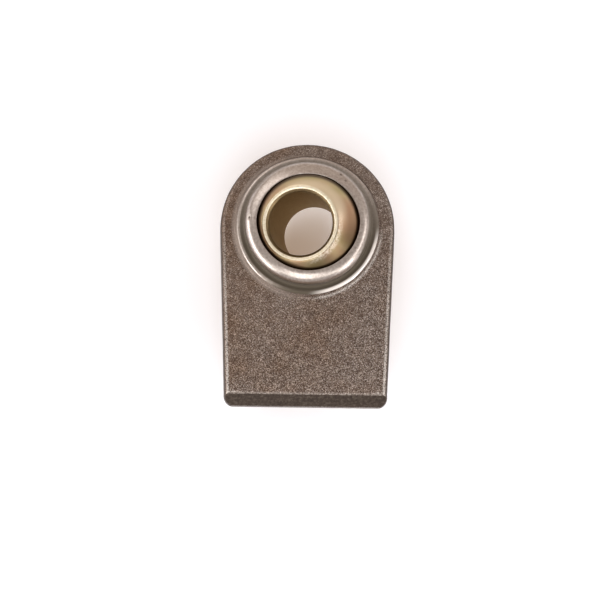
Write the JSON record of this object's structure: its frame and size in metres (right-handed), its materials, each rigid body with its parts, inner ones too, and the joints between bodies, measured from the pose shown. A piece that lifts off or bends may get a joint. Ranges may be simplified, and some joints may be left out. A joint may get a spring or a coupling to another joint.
{
  "type": "weld-on rod end",
  "caption": "Flat forged eye with a plated, bored ball swaged into it so that it can tilt, and a bevelled end for welding to a link arm.",
  "frame": {"origin": "centre of the ball, on the body's mid-plane", "axes": "+Y from the weld end to the round eye, +Z square out of the shown face, +X to the right of the shown face"},
  "size_m": [0.0636, 0.0961, 0.0398],
  "materials": {
    "forged_steel": "shot-blasted forged skin, with a smooth pressed ring round the ball",
    "zinc_plated_steel": "yellow-passivated zinc plate on turned steel"
  },
  "bodies": {
    "body": {"forged_body": "forged_steel"},
    "ball": {"swivel_ball": "zinc_plated_steel"}
  },
  "joints": [
    {"name": "ball_tilt", "type": "hinge", "parent": "body", "child": "ball", "pos_m": [0, 0, 0], "axis": [0.5878, -0.809, 0], "range_deg": [-32, 8]}
  ]
}
